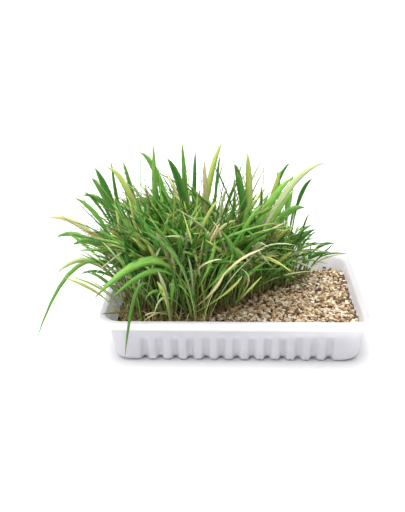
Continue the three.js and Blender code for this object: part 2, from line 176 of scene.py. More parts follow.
# the rim's bends in mm: under the land, the lip's inner bend, over the lip and down to the inner face
rim = {
    'underLand': 1, 'lipInner': 1, 'lipOuter': 2.2, 'innerEdge': 1.1, 'lipFoot': 0.3, 'straight': 2.4,
    'landDepth': 0.6,
}


def wallInset(z):
    upper = min(tray['height'] - z, tray['upperWall']) * tray['upperSlope']
    lower = max(tray['height'] - tray['upperWall'] - z, 0) * tray['draft']
    return tray['rimLand'] - tray['sheet'] + upper + lower


def lobeInset(z):
    rise = max(tray['baseFillet'] - z, 0)
    return wallInset(z) + tray['baseFillet'] - math.sqrt(tray['baseFillet'] ** 2 - rise ** 2)


def grooveDepth(z):
    heights, depths = zip(*tray['grooveDepths'])
    fillet = tray['baseFillet'] - math.sqrt(tray['baseFillet'] ** 2 - max(tray['baseFillet'] - z, 0) ** 2)
    soft = float(np.interp(z, heights, depths)) - fillet
    return max(soft, 0)


def grooveShape(offset):
    # 1 in the middle of a groove, 0 on a lobe, with soft shoulders; offset in rib pitches
    share = min(max((abs(offset) - tray['grooveFlat']) / tray['grooveShoulder'], 0), 1)
    return 1 - share * share * (3 - 2 * share)


def trayLoop(z, inset, radius, depth):
    halfX = tray['length'] / 2 - inset
    halfY = tray['width'] / 2 - inset
    loop = []
    for halfAlong, halfOut, grooves, turns in (
        (halfX, halfY, tray['longGrooves'], 0), (halfY, halfX, tray['shortGrooves'], 1),
        (halfX, halfY, tray['longGrooves'], 2), (halfY, halfX, tray['shortGrooves'], 3),
    ):
        cos, sin = [(1, 0), (0, 1), (-1, 0), (0, -1)][turns]
        places = []
        for k in range(grooves * tray['pointsPerRib']):
            ribs = (k + 0.5) / tray['pointsPerRib']
            along = (ribs - grooves / 2) * tray['ribPitch']
            places.append((along, halfOut - depth * grooveShape(ribs % 1 - 0.5)))
        for k in range(tray['cornerSteps'] + 1):
            angle = k / tray['cornerSteps'] * math.pi / 2
            along = halfAlong - radius + radius * math.sin(angle)
            places.append((along, halfOut - radius + radius * math.cos(angle)))
        loop += [((a * cos + o * sin) * mm, (a * sin - o * cos) * mm, z * mm) for a, o in places]
    return loop


def wallRadius(inset):
    grooveEdge = tray['longGrooves'] / 2 * tray['ribPitch']
    return min(tray['wallRadius'], tray['length'] / 2 - inset - grooveEdge - tray['cornerGap'])


def arcPoints(centre, radius, start, end, steps):
    # points on an arc of the wall's section, as (inset, height)
    angles = np.radians(np.linspace(start, end, steps))
    return [(centre[0] + radius * math.cos(a), centre[1] + radius * math.sin(a)) for a in angles]


def trayLoops():
    sheet = tray['sheet']
    bend = tray['height'] - tray['upperWall']
    top = tray['height']
    lipFoot = top - tray['lipDrop']
    loops = []
    inside = []
    for z in tray['wallHeights']:
        lobe = lobeInset(z)
        loops.append(trayLoop(z, lobe, wallRadius(lobe), grooveDepth(z)))
        lobe += tray['insideStep'] * sheet
        depth = grooveDepth(z) if z < tray['ribTop'] - 1 else 0
        inside.append(trayLoop(z + sheet, lobe, wallRadius(lobe), depth))
    # under the land, round the down-turned lip, over the land and down the inner face
    land = tray['rimLand']
    wall, edge = tray['wallRadius'], tray['rimRadius']
    under, inner, outer, over = rim['underLand'], rim['lipInner'], rim['lipOuter'], rim['innerEdge']
    foot, straight = rim['lipFoot'], rim['straight']
    section = [(wallInset(bend), bend, wall), (wallInset(top - straight), top - straight, wall)]
    underCentre = (land - sheet - 0.9, top - sheet - under)
    section += [(x, z, wall) for x, z in arcPoints(underCentre, under, 0, 90, 5)]
    section += [(x, z, edge) for x, z in arcPoints((sheet + 1.1, top - sheet - inner), inner, 90, 180, 4)]
    section += [(sheet, lipFoot + foot, edge), (sheet - foot, lipFoot, edge), (foot, lipFoot, edge)]
    section += [(0, lipFoot + foot, edge), (0.05, lipFoot + 1.6, edge)]
    section += [(x, z, edge) for x, z in arcPoints((2.4, top - outer), outer, 175, 90, 8)]
    section += [(x, z, wall) for x, z in arcPoints((land - over, top - over), over, 90, 30, 5)]
    section += [(wallInset(bend) + 0.85 * sheet, bend + 1.3 * sheet, wall)]
    section += [(wallInset(bend) + 0.9 * sheet, bend + 0.2 * sheet, wall)]
    rimLoops = [trayLoop(z, inset, radius, 0) for inset, z, radius in section]
    # the zone of each loop, for the painted shade of each zone
    paintedShadeZones = ['wall'] * (len(loops) + 2)
    paintedShadeZones += ['land' if z > top - rim['landDepth'] else 'lip' for inset, z, radius in section[2:]]
    paintedShadeZones += ['inside'] * len(inside)
    return loops + rimLoops + inside[::-1], paintedShadeZones


def closedLoft(loops):
    perLoop = len(loops[0])
    points = [p for loop in loops for p in loop]
    faces = []
    for k in range(len(loops) - 1):
        low, high = k * perLoop, (k + 1) * perLoop
        for i in range(perLoop):
            j = (i + 1) % perLoop
            faces.append((low + i, low + j, high + j, high + i))
    last = (len(loops) - 1) * perLoop
    foot, floor = len(points), len(points) + 1
    points += [(0, 0, loops[0][0][2]), (0, 0, loops[-1][0][2])]
    for i in range(perLoop):
        j = (i + 1) % perLoop
        faces.append((foot, j, i))
        faces.append((floor, last + i, last + j))
    return points, faces


def makePolypropylene():
    # moulded white polypropylene: satin, faintly cool, light glows a little through the thin sheet
    material, tree, shader = newMaterial('White moulded polypropylene', {
        'Roughness': 0.38, 'IOR': 1.49, 'Subsurface Weight': 0.5, 'Subsurface Scale': 0.006,
        'Subsurface Radius': (1.0, 1.0, 1.0), 'Coat Weight': 0.05,
    })
    place = addNode(tree, 'ShaderNodeTexCoord')
    # dust and handling give patches of some 20 mm that are a shade greyer
    where = {'Vector': place.outputs['Object']}
    patches = addNode(tree, 'ShaderNodeTexNoise', {'Scale': 50, 'Detail': 3}, where)
    patchy = ramp(tree, patches.outputs['Fac'], [(0.3, 'E4E3E6'), (0.7, 'ECEBEE')])
    # painted shade: each zone of the tray (wall, lip, land and inside) is tinted a little apart to give it
    # the brightness its light shows, greyest on the land, a little grey on the outer wall, near white inside,
    # white on the lip
    paintedZoneShade = addNode(tree, 'ShaderNodeVertexColor', {'layer_name': 'paintedZoneShade'})
    addMultiply(tree, shader, patchy, paintedZoneShade.outputs['Color'], 1)
    # the mould's fine grain, about 0.5 mm
    grain = addNode(tree, 'ShaderNodeTexNoise', {'Scale': 2000, 'Detail': 2}, where)
    addBump(tree, shader, grain, 0.06, 0.0002)
    return material


polypropylene = makePolypropylene()
loops, paintedShadeZones = trayLoops()
points, faces = closedLoft(loops)
trayPiece = meshPiece('moulded_tray', points, faces, polypropylene)
# the two last points are the middles of the base's two faces
# painted shade for each zone of the tray; the lip stays white
paintedShadeOf = {'wall': 'EFEFF5', 'lip': 'FFFFFF', 'land': 'D9D8DF', 'inside': 'F6F5F9'}
paintedPointShades = [srgb(paintedShadeOf[shade]) for shade in paintedShadeZones for point in loops[0]]
paintPoints(trayPiece, 'paintedZoneShade', paintedPointShades + [srgb('FFFFFF')] * 2)
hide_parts('tray')
bpy.context.view_layer.objects.active = trayPiece
trayPiece.select_set(True)
bpy.ops.object.shade_smooth_by_angle(angle=math.radians(50))
bpy.ops.object.select_all(action='DESELECT')
print("tray made")


# Vermiculite

vermiculite = {
    'bedTop': 20.5, 'sownTop': 19.6, 'sownCover': 0.6, 'mound': 0.7, 'moundX': 17, 'moundY': 13,
    'flakeSize': 2.55, 'seedSize': 6.2, 'bareFlakes': 3900, 'sownFlakes': 2000, 'seeds': 420,
    'seedsThinned': 0.8,
    'sownEdge': [(-61, -22), (-34, -16), (4, 20), (30, 52), (61, 79)],
    'creams': ['EFE2CA', 'E6D4B4', 'F6EDDC'], 'golds': ['D4B78A', 'BD9C6E', 'DDC59C'],
    'browns': ['84643F', '64482B', '9A7B52'], 'grains': ['B08C5E', '94724C', 'C4A478', '785C3E'],
}


def makeVermiculite():
    # expanded vermiculite: matt layered mica flakes, with a pearly glint on the flat faces
    material, tree, shader = newMaterial('Expanded vermiculite', {'Roughness': 0.62, 'IOR': 1.55})
    tint = addNode(tree, 'ShaderNodeVertexColor', {'layer_name': 'flakeTint'})
    place = addNode(tree, 'ShaderNodeTexCoord')
    # the layers of a flake are about 0.3 mm apart; the noise's dark streaks are painted shade in the gaps
    # between them
    where = {'Vector': place.outputs['Object']}
    layers = addNode(tree, 'ShaderNodeTexNoise', {'Scale': 1400, 'Detail': 3}, where)
    shade = ramp(tree, layers.outputs['Fac'], [(0.3, '8C765C'), (0.65, 'FFFFFF')])
    addMultiply(tree, shader, tint.outputs['Color'], shade, 0.75)
    addBump(tree, shader, layers, 0.4, 0.0004)
    return material


def makeBedGround():
    # the flakes deeper down, in shade: warm brown with pale grains of 2 to 3 mm
    material, tree, shader = newMaterial('Shaded vermiculite', {'Roughness': 0.9})
    place = addNode(tree, 'ShaderNodeTexCoord')
    grains = addNode(tree, 'ShaderNodeTexVoronoi', {'Scale': 420}, {'Vector': place.outputs['Object']})
    colour = ramp(tree, grains.outputs['Distance'], [(0.1, '7A5A36'), (0.5, '3B2815'), (0.8, '22160B')])
    tree.links.new(colour, shader.inputs['Base Color'])
    return material


def onBed(x, y, margin):
    # inside the tray's inner wall at the level of the bed
    inset = wallInset(vermiculite['bedTop']) + tray['sheet'] + margin
    halfX = tray['length'] / 2 - inset
    halfY = tray['width'] / 2 - inset
    radius = tray['wallRadius']
    overX = max(abs(x) - (halfX - radius), 0)
    overY = max(abs(y) - (halfY - radius), 0)
    return abs(x) <= halfX and abs(y) <= halfY and math.hypot(overX, overY) <= radius


def isSown(x, y):
    ys, xs = zip(*vermiculite['sownEdge'])
    return x < float(np.interp(y, ys, xs))


def bedLevel(x, y):
    if isSown(x, y):
        return vermiculite['sownTop'] + vermiculite['sownCover']
    mound = math.sin(x / vermiculite['moundX']) * math.cos(y / vermiculite['moundY'])
    return vermiculite['bedTop'] + vermiculite['mound'] * mound


def modelGrain(kind, seed):
    # one loose grain, 1 long, modelled once: a block of mica layers or a seed with its crease
    if kind == 'seed':
        bpy.ops.mesh.primitive_uv_sphere_add(segments=8, ring_count=6, radius=0.5)
    else:
        bpy.ops.mesh.primitive_cube_add(size=1)
    grain = bpy.context.object
    bpy.ops.object.mode_set(mode='EDIT')
    if kind == 'seed':
        bpy.ops.transform.rotate(value=math.pi / 2, orient_axis='Y', center_override=(0, 0, 0))
        bpy.ops.transform.resize(value=(1, 0.46, 0.42))
        bpy.ops.mesh.select_all(action='DESELECT')
        build = bmesh.from_edit_mesh(grain.data)
        for vertex in build.verts:
            vertex.select = abs(vertex.co.y) < 0.02 and vertex.co.z < -0.05
        bpy.ops.transform.translate(value=(0, 0, 0.09))
        bpy.ops.mesh.select_all(action='SELECT')
        bpy.ops.transform.vertex_random(offset=0.02, seed=seed)
    else:
        bpy.ops.mesh.subdivide(number_cuts=1)
        bpy.ops.transform.resize(value=(1, 0.78, 0.42 + 0.08 * (seed % 3)))
        bpy.ops.transform.vertex_random(offset=0.13, seed=seed)
    bpy.ops.object.mode_set(mode='OBJECT')
    points = np.array([tuple(v.co) for v in grain.data.vertices])
    faces = [tuple(polygon.vertices) for polygon in grain.data.polygons]
    bpy.data.objects.remove(grain)
    return points, faces


def turnMatrix(random, tilt):
    spin = random.uniform(0, 2 * math.pi)
    lean = random.normal(0, tilt)
    heading = random.uniform(0, 2 * math.pi)
    cosS, sinS = math.cos(spin), math.sin(spin)
    about = np.array([[cosS, -sinS, 0], [sinS, cosS, 0], [0, 0, 1]])
    axis = np.array([math.cos(heading), math.sin(heading), 0])
    cross = np.array([[0, 0, axis[1]], [0, 0, -axis[0]], [-axis[1], axis[0], 0]])
    tipped = np.eye(3) + math.sin(lean) * cross + (1 - math.cos(lean)) * cross @ cross
    return tipped @ about


def scatterGrains(name, shapes, count, sown, look, seed):
    random = np.random.default_rng(seed)
    points, faces, colours = [], [], []
    halfX, halfY = tray['length'] / 2, tray['width'] / 2
    placed = 0
    while placed < count:
        x, y = random.uniform(-halfX, halfX), random.uniform(-halfY, halfY)
        if not onBed(x, y, look['margin']) or isSown(x, y) != sown:
            continue
        if 'front' in look and y > look['front'] and random.random() < vermiculite['seedsThinned']:
            continue
        size = look['size'] * random.uniform(*look['spread'])
        height = bedLevel(x, y) + random.uniform(*look['depth'])
        corners, grainFaces = shapes[random.integers(len(shapes))]
        first = len(points)
        points += list((corners * size @ turnMatrix(random, look['tilt']).T + (x, y, height)) * mm)
        faces += [tuple(first + c for c in face) for face in grainFaces]
        family = random.choice(list(look['mix']), p=list(look['mix'].values()))
        colours += [srgb(vermiculite[family][random.integers(3)])] * len(corners)
        placed += 1
    piece = meshPiece(name, points, faces, vermiculiteFlake)
    paintPoints(piece, 'flakeTint', colours)
    return piece


vermiculiteFlake = makeVermiculite()
bedGround = makeBedGround()
bedNode = nodes['vermiculite_bed']
bedNode.data.materials.clear()
bedNode.data.materials.append(bedGround)
flakes = [modelGrain('flake', seed) for seed in range(12)]
seeds = [modelGrain('seed', seed) for seed in range(4)]
bpy.ops.object.select_all(action='DESELECT')
scatterGrains('vermiculite_flakes_bare', flakes, vermiculite['bareFlakes'], False, {
    'size': vermiculite['flakeSize'], 'spread': (0.45, 1.2), 'depth': (-2.0, 1.3), 'tilt': 0.9,
    'margin': 1.6, 'mix': {'creams': 0.44, 'golds': 0.4, 'browns': 0.16},
}, 11)
scatterGrains('vermiculite_flakes_sown', flakes, vermiculite['sownFlakes'], True, {
    'size': vermiculite['flakeSize'], 'spread': (0.45, 1.15), 'depth': (-1.2, 1.4), 'tilt': 0.6,
    'margin': 1.6, 'mix': {'creams': 0.22, 'golds': 0.38, 'browns': 0.4},
}, 12)
scatterGrains('wheat_seeds', seeds, vermiculite['seeds'], True, {
    'size': vermiculite['seedSize'], 'spread': (0.8, 1.05), 'depth': (0.4, 2.4), 'tilt': 0.35, 'margin': 4,
    'front': -14, 'mix': {'grains': 1.0},
}, 13)
print("vermiculite made")


# Grass: the same places and centre lines as the solids

stand = {
    'plugRadius': 9.2, 'plugColumns': 22, 'plugRows': [-44.5, -26.7, -8.9, 8.9, 26.7, 44.5],
    'plugsInRow': [3, 2, 4, 4, 6, 6], 'firstPlugX': -70,
    'bladesPerPlug': 16, 'bladeRoot': 19, 'thickness': 0.9, 'clearance': 0.35,
    'tries': 60, 'placesTried': 8, 'rings': [(0, 0.5), (0.22, 0.7), (0.5, 1), (0.78, 0.8), (1, 0)],
    'groundClearance': 3, 'tipX': (-128, 82), 'tipY': (-61, 84),
    'heights': [(-10, 104), (20, 92), (45, 62), (75, 30)],  # blade length against the root's x
    # no drawn blade's tip is above this height, against the tip's x
    'canopy': [(-120, 56), (-105, 80), (-98, 96), (-65, 122), (-35, 110), (-22, 102), (-8, 82), (4, 94),
               (25, 104), (37, 94), (43, 58), (60, 42), (80, 30)],
    'canopyFall': 0.3, 'canopyBack': 10, 'skirt': 60, 'skirtFront': -34, 'skirtLeft': -82,
    'shorterFront': -25, 'shorterBy': 0.9, 'rimGap': 1, 'rimPassing': 2,
    # root, tip, bow, crown, width and a look where it has one; the dark and bright looks carry painted shade
    # and painted light
    'standouts': [
        ((-58, 10), (-58, 5, 136), 0.5, 100, 4.6, 'green'),
        ((-38, 20), (-69, 15, 127), 0.38, 122, 5.6, 'green'),
        ((-33, 12), (-39, 18, 134), 0.5, 100, 4.6, 'green'),
        ((-32, 27), (-30, 30, 125), 0.5, 90, 3.6, 'dark'),
        ((-27, 20), (-10, 15, 135), 0.15, 110, 5.2, 'yellowGreen'),
        ((-23, 8), (-23, 8, 124), 0.5, 90, 4.4, 'straw'),
        ((-29, 3), (-48, -5, 128), 0.16, 110, 6.8, 'dark'),
        ((-73, 30), (-84, 35, 116), 0.1, 90, 4, 'green'),
        ((-77, 24), (-91, 25, 120), 0.8, 70, 3.6, 'dark'),
        ((-71, 10), (-92, 5, 119), 0.18, 115, 5.2, 'yellowGreen'),
        ((-77, 5), (-99, 0, 120), 0.4, 100, 6.6, 'dark'),
        ((-76, 18), (-106, 25, 105), 0.7, 100, 5, 'green'),
        ((-77, 13), (-112, 15, 95), 0.5, 100, 5, 'green'),
        ((-76, 2), (-115, 0, 98), 0.5, 92, 4.4, 'green'),
        ((-74, -3), (-134, -10, 86), 0.5, 94, 5.2, 'straw'),
        ((-76, 9), (-132, 10, 64), 0.7, 80, 4.6, 'green'),
        ((-76, -8), (-115, -15, 68), 0.42, 83, 6.4, 'green'),
        ((-72, -15), (-125, -30, 52), 0.5, 80, 5, 'pale'),
        ((-74, -22), (-140, -45, 6), 0.49, 110, 3.6, 'green'),
        ((-30, -42), (-93, -68, 51), 0.12, 105, 8, 'bright'),
        ((-30, -46), (-84, -70, 49), 0.14, 94, 5, 'green'),
        ((-50, -38), (-73, -80, 14), 0.6, 104, 3.6, 'green'),
        ((7, 10), (-2, 10, 120), 0.2, 110, 6, 'green'),
        ((12, 4), (7, 0, 131), 0.3, 105, 6, 'yellowGreen'),
        ((19, 27), (39, 30, 116), 0.1, 100, 4, 'dark'),
        ((30, 26), (29, 20, 112), 0.5, 90, 5, 'green'),
        ((-1, -7), (59, -10, 126), 0.5, 122, 5.6, 'pale'),
        ((38, 30), (56, 35, 102), 0.15, 95, 4, 'dark'),
        ((34, 24), (40, 15, 110), 0.1, 90, 6, 'green'),
        ((17, 5), (48, 0, 91), 0.38, 95, 6.4, 'green'),
        ((41, 34), (60, 35, 62), 0.22, 62, 3.6, 'dark'),
        ((52, 46), (76, 45, 47), 0.3, 50, 3.6, 'dark'),
        ((45, 40), (73, 40, 42), 0.3, 42, 3.6, 'dark'),
    ],
}

# How a blade grows that isn't listed: pushed out from the stand's middle, with less chance in it
# (wild) at each new attempt; pairs are the least and what chance adds
growth = {
    'middle': (-22, 6), 'spread': (62, 140), 'rightmost': 0.6, 'scatter': (0.7, 0.55), 'turn': 3,
    'lean': (0.08, 0.42, 0.28), 'mostLean': 1.3, 'archingShare': 0.2, 'archingGain': 1.6,
    'length': (0.55, 0.65), 'crowded': (0.6, 0.4), 'bow': (0.04, 0.2), 'crown': (0.42, 0.28),
    'width': (3.2, 2.2), 'facing': 1.6,
}
rootSpiral = {'margin': 2, 'start': 6, 'turn': 2.4, 'shift': 0.3, 'seed': 500, 'bladeSeed': 1000}


def unit(v):
    return v / np.linalg.norm(v, axis=-1, keepdims=True)


def lerp(a, b, share):
    return a + (b - a) * share


def plugCentres():
    centres = []
    for row, y in enumerate(stand['plugRows']):
        for k in range(stand['plugsInRow'][row]):
            centres.append((stand['firstPlugX'] + (k + (row % 2) / 2) * stand['plugColumns'], y))
    return centres


def standHeight(x, y):
    places, heights = zip(*stand['heights'])
    shorter = max(stand['shorterFront'] - y, 0) * stand['shorterBy']
    return float(np.interp(x, places, heights)) - shorter


def crownHeight(x, y):
    places, heights = zip(*stand['canopy'])
    return float(np.interp(x, places, heights)) - max(y - stand['canopyBack'], 0) * stand['canopyFall']


def inCrown(blade):
    # a drawn blade ends under the canopy, and doesn't flop over the front or the left rim
    x, y, z = blade['tip']
    inside = y > stand['skirtFront'] and x > stand['skirtLeft']
    return z < crownHeight(x, y) and (z > stand['skirt'] or inside)


def bladeCurve(blade):
    x, y = blade['root']
    toX, toY, toZ = blade['tip']
    bend = blade.get('bend') or (lerp(x, toX, blade['bow']), lerp(y, toY, blade['bow']), blade['crown'])
    return np.array([(x, y, stand['bladeRoot']), bend, (toX, toY, toZ)], dtype=float)


def curvePoint(curve, share):
    share = np.asarray(share, dtype=float)[..., None]
    return (1 - share) ** 2 * curve[0] + 2 * (1 - share) * share * curve[1] + share ** 2 * curve[2]


def curveTangent(curve, share):
    before = np.maximum(np.asarray(share, dtype=float) - 0.0001, 0)
    after = np.minimum(np.asarray(share, dtype=float) + 0.0001, 1)
    return unit(curvePoint(curve, after) - curvePoint(curve, before))


def bladeFrame(blade, shares):
    # centre, side and back at each share of the way along a blade
    curve = bladeCurve(blade)
    chord = unit(curve[2] - curve[0])
    face = blade.get('face', -math.pi / 2)
    facing = np.array([math.cos(face), math.sin(face), 0.4])
    facing = unit(facing - facing.dot(chord) * chord)
    tangents = curveTangent(curve, shares)
    sides = unit(np.cross(tangents, facing))
    backs = unit(np.cross(sides, tangents))
    return curvePoint(curve, shares), sides, backs, tangents


def drawnBlade(place, attempt):
    random = randomStream(place['seed'] + attempt)
    wild = 1 - attempt / stand['tries']
    x, y = place['root']
    middle, spread, scatter = growth['middle'], growth['spread'], growth['scatter']
    crowded, bow, crown, width = growth['crowded'], growth['bow'], growth['crown'], growth['width']
    heading = place['angle'] + (random() - 0.5) * growth['turn'] * wild
    outX = min((x - middle[0]) / spread[0], growth['rightmost'])
    pushX = outX + scatter[0] * wild * math.cos(heading)
    pushY = (y - middle[1]) / spread[1] + scatter[1] * wild * math.sin(heading)
    push = math.hypot(pushX, pushY) + 1e-6
    gain = growth['archingGain'] if random() < growth['archingShare'] else 1
    least, byPush, byChance = growth['lean']
    lean = min((least + byPush * push + byChance * random() * wild) * gain, growth['mostLean'])
    length = standHeight(x, y) * (growth['length'][0] + growth['length'][1] * random())
    length *= crowded[0] + crowded[1] * wild
    reach = length * math.sin(lean)
    toX = min(max(x + reach * pushX / push, stand['tipX'][0]), stand['tipX'][1])
    toY = min(max(y + reach * pushY / push, stand['tipY'][0]), stand['tipY'][1])
    return {
        'root': (x, y),
        'tip': (toX, toY, stand['bladeRoot'] + length * math.cos(lean)),
        'bow': bow[0] + bow[1] * random(),
        'crown': stand['bladeRoot'] + length * (crown[0] + crown[1] * random()),
        'width': width[0] + width[1] * random() * wild,
        'face': math.atan2(pushY, pushX) + (random() - 0.5) * growth['facing'] + math.pi,
    }


def slimBoxes(blade):
    shares, widths = zip(*stand['rings'])
    centres, sides, backs, tangents = bladeFrame(blade, shares)
    halves = np.array(widths) * blade['width'] / 2
    side = unit(sides[:-1] + sides[1:])
    along = centres[1:] - centres[:-1]
    lengths = np.linalg.norm(along, axis=1)
    along = along / lengths[:, None]
    back = unit(np.cross(side, along))
    middles = (centres[:-1] + centres[1:]) / 2 + back * stand['thickness'] / 2
    thick = np.full(len(lengths), stand['thickness'] / 2)
    sizes = np.stack([np.maximum(halves[:-1], halves[1:]), thick, lengths / 2], axis=1)
    return (middles, np.stack([side, back, along], axis=1), sizes), centres, halves


def allClear(boxes, others, gap):
    # whether every slim box of a blade stays clear of all the others
    (middleA, axesA, sizeA), (middleB, axesB, sizeB) = boxes, others
    between = middleB[None] - middleA[:, None]
    farthest = (sizeA[:, 2] + sizeA[:, 0])[:, None] + (sizeB[:, 2] + sizeB[:, 0])[None] + gap
    rows, columns = np.nonzero(np.linalg.norm(between, axis=2) <= farthest)
    if not len(rows):
        return True
    between = between[rows, columns]
    a, b = axesA[rows], axesB[columns]
    crossed = np.cross(a[:, :, None, :], b[:, None, :, :]).reshape(-1, 9, 3)
    axes = np.concatenate([a, b, crossed], axis=1)
    size = np.linalg.norm(axes, axis=2)
    reach = gap * size
    reach = reach + (np.abs(axes @ a.transpose(0, 2, 1)) * sizeA[rows][:, None, :]).sum(axis=2)
    reach = reach + (np.abs(axes @ b.transpose(0, 2, 1)) * sizeB[columns][:, None, :]).sum(axis=2)
    apart = np.abs((axes * between[:, None, :]).sum(axis=2)) > reach
    return bool(np.all(np.any(apart & (size >= 1e-6), axis=1)))


def clearOfTray(centres, halves):
    gap = stand['rimGap']
    inner = wallInset(tray['height'] - tray['upperWall']) + tray['sheet'] + gap
    for centre, half in zip(centres[1:], halves[1:]):
        overX = abs(centre[0]) + half > tray['length'] / 2 - inner
        overY = abs(centre[1]) + half > tray['width'] / 2 - inner
        outX = abs(centre[0]) - half > tray['length'] / 2 + gap
        outY = abs(centre[1]) - half > tray['width'] / 2 + gap
        over = centre[2] - half > tray['height'] + stand['rimPassing']
        if (overX or overY) and not (outX or outY or over):
            return False
    return True


def rootPlaces():
    places = []
    count = stand['bladesPerPlug']
    for plug, (plugX, plugY) in enumerate(plugCentres()):
        random = randomStream(rootSpiral['seed'] + plug)
        start = random() * rootSpiral['start']
        for k in range(count):
            away = (stand['plugRadius'] - rootSpiral['margin']) * math.sqrt((k + 0.5) / count)
            angle = start + k * rootSpiral['turn'] + rootSpiral['shift'] * random()
            places.append({
                'plug': plug, 'root': (plugX + away * math.cos(angle), plugY + away * math.sin(angle)),
                'angle': angle, 'free': True,
                'seed': rootSpiral['bladeSeed'] + (plug * count + k) * stand['tries'],
            })
    return places


def growStand():
    places = rootPlaces()
    grown = []
    held = [np.zeros((0, 3)), np.zeros((0, 3, 3)), np.zeros((0, 3))]

    def grow(place, blade):
        boxes, centres, halves = slimBoxes(blade)
        if not np.all(centres[:, 2] - halves > stand['groundClearance']):
            return False
        if not clearOfTray(centres, halves) or not allClear(boxes, held, stand['clearance']):
            return False
        for k in range(3):
            held[k] = np.concatenate([held[k], boxes[k]])
        blade['plug'] = place['plug']
        grown.append(blade)
        place['free'] = False
        return True

    for root, tip, bow, crown, width, look in stand['standouts']:
        free = [place for place in places if place['free']]
        free.sort(key=lambda place: math.hypot(place['root'][0] - root[0], place['root'][1] - root[1]))
        for place in free[:stand['placesTried']]:
            blade = {'root': place['root'], 'tip': tip, 'bow': bow, 'crown': crown}
            blade.update({'width': width, 'look': look})
            if grow(place, blade):
                break
    for place in [place for place in places if place['free']]:
        for attempt in range(stand['tries']):
            blade = drawnBlade(place, attempt)
            if inCrown(blade) and grow(place, blade):
                break
    return grown


# Blade looks: foot, middle and tip colours

leafLooks = {
    # the dark and bright looks are deeper and lighter greens that also carry painted shade and painted light,
    # for leaves in shade and in the light
    'green': ('C3CB7E', '7DB44E', '70A84A'),
    'dark': ('A3B163', '4F8E38', '427D34'),
    'bright': ('BFD572', '93CB5C', '88C25A'),
    'yellowGreen': ('D5D58E', 'B6C964', 'C6CF76'),
    'pale': ('D8DBA6', 'BDD094', 'CCDAA8'),
    'straw': ('E2D6A2', 'DBD196', 'E8DAAC'),
    'dry': ('C4A870', 'B49A64', '8A7748'),
    'stem': ('D2D094', 'A9B866', '8FAE54'),
    'brown': ('94703F', '84623A', '5E4527'),
}


def makeLeaf():
    # fresh wheatgrass leaf: thin, slightly waxy, ribbed lengthwise, light shines through it
    material, tree, shader = newMaterial('Wheatgrass leaf', {
        'Roughness': 0.48, 'IOR': 1.42, 'Subsurface Weight': 0.12, 'Subsurface Scale': 0.001,
        'Subsurface Radius': (0.6, 1.0, 0.3), 'Specular IOR Level': 0.3,
    })
    tint = addNode(tree, 'ShaderNodeVertexColor', {'layer_name': 'leafTint'})
    place = addNode(tree, 'ShaderNodeUVMap', {'uv_map': 'leafLength'})
    # veins run lengthwise, about 0.4 mm apart: u counts millimetres across, v along
    stretch = addNode(tree, 'ShaderNodeMapping', {'Scale': (2.6, 0.05, 1)}, {'Vector': place.outputs['UV']})
    along = {'Vector': stretch.outputs['Vector']}
    veins = addNode(tree, 'ShaderNodeTexNoise', {'Scale': 1.0, 'Detail': 2}, along)
    shade = ramp(tree, veins.outputs['Fac'], [(0.3, 'B5BFA0'), (0.7, 'FFFFFF')])
    addMultiply(tree, shader, tint.outputs['Color'], shade, 0.6)
    addBump(tree, shader, veins, 0.3, 0.0002)
    return material


leaf = {
    'steps': 13, 'slimmer': 0.86, 'fold': 0.22, 'sheet': 0.3, 'sheathWidth': 1.2, 'sheathLength': 44,
    # places along the blade above the sheath, and the widths there
    'bladePlaces': (0.15, 0.38, 0.62, 0.82, 0.95, 1), 'bladeWidths': [0.74, 1, 0.84, 0.52, 0.22, 0.03],
    'twist': 0.35, 'mood': (0.92, 0.19), 'pale': 0.28, 'brownTips': 0.3, 'brownFrom': 0.93, 'brown': '8C7A4A',
}


def leafWidth(share, length, width):
    # a slim round sheath below, then a blade that is widest near its foot and tapers evenly
    slim = min(leaf['sheathWidth'] / width, 0.9)
    sheath = min(max(leaf['sheathLength'] / length, 0.2), 0.5)
    places = [lerp(sheath, 1, along) for along in leaf['bladePlaces']]
    return np.interp(share, [0, sheath * 0.9] + places, [slim * 0.9, slim] + leaf['bladeWidths'])


def leafPath(blade, shares):
    # centre line and frame of a blade, bent sharply once where it has a kink
    centres, sides, backs, tangents = bladeFrame(blade, shares)
    if 'kink' in blade:
        place, angle, roll = blade['kink']
        k = int(np.searchsorted(shares, place))
        axis = unit(sides[k] * math.cos(roll) + backs[k] * math.sin(roll))
        turn = np.array(Matrix.Rotation(angle, 3, Vector(axis)))
        centres[k + 1:] = (centres[k + 1:] - centres[k]) @ turn.T + centres[k]
        sides[k + 1:] = sides[k + 1:] @ turn.T
        backs[k + 1:] = backs[k + 1:] @ turn.T
    return centres, sides, backs


